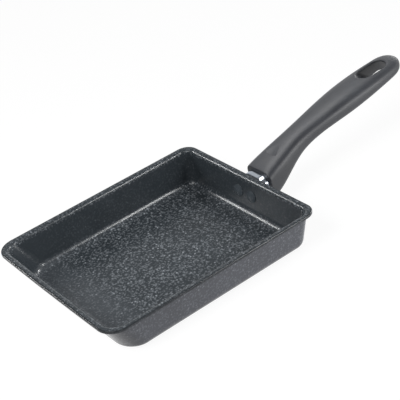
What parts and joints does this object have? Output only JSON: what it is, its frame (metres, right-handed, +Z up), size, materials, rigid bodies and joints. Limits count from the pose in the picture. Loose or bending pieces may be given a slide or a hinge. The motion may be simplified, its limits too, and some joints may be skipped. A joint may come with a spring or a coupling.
{
  "type": "tamagoyaki pan",
  "caption": "Rectangular rolled-omelette pan: coated pressed shell with a flared lip, riveted steel bracket, polished flame guard and moulded handle with a thumb rest and a hanging slot.",
  "frame": {"origin": "middle of the underside of the pan's base, on the face that it stands on", "axes": "+X along the pan towards the end of the handle, +Y across the pan, +Z up"},
  "size_m": [0.3669, 0.162, 0.0691],
  "materials": {
    "pan_coating": "speckled non-stick coating, satin",
    "rivet_coating": "non-stick coated, satin",
    "bracket_steel": "pressed and zinc plated",
    "fastener_steel": "zinc plated",
    "guard_steel": "polished stainless steel",
    "handle_phenolic": "moulded phenolic, fine matte"
  },
  "bodies": {
    "root": {"pan_body": "pan_coating", "rivet_left": "rivet_coating", "rivet_right": "rivet_coating", "handle_bracket": "bracket_steel", "bracket_nut": "fastener_steel", "flame_guard": "guard_steel", "handle_grip": "handle_phenolic", "handle_screw": "fastener_steel", "screw_washer": "fastener_steel"}
  },
  "joints": []
}
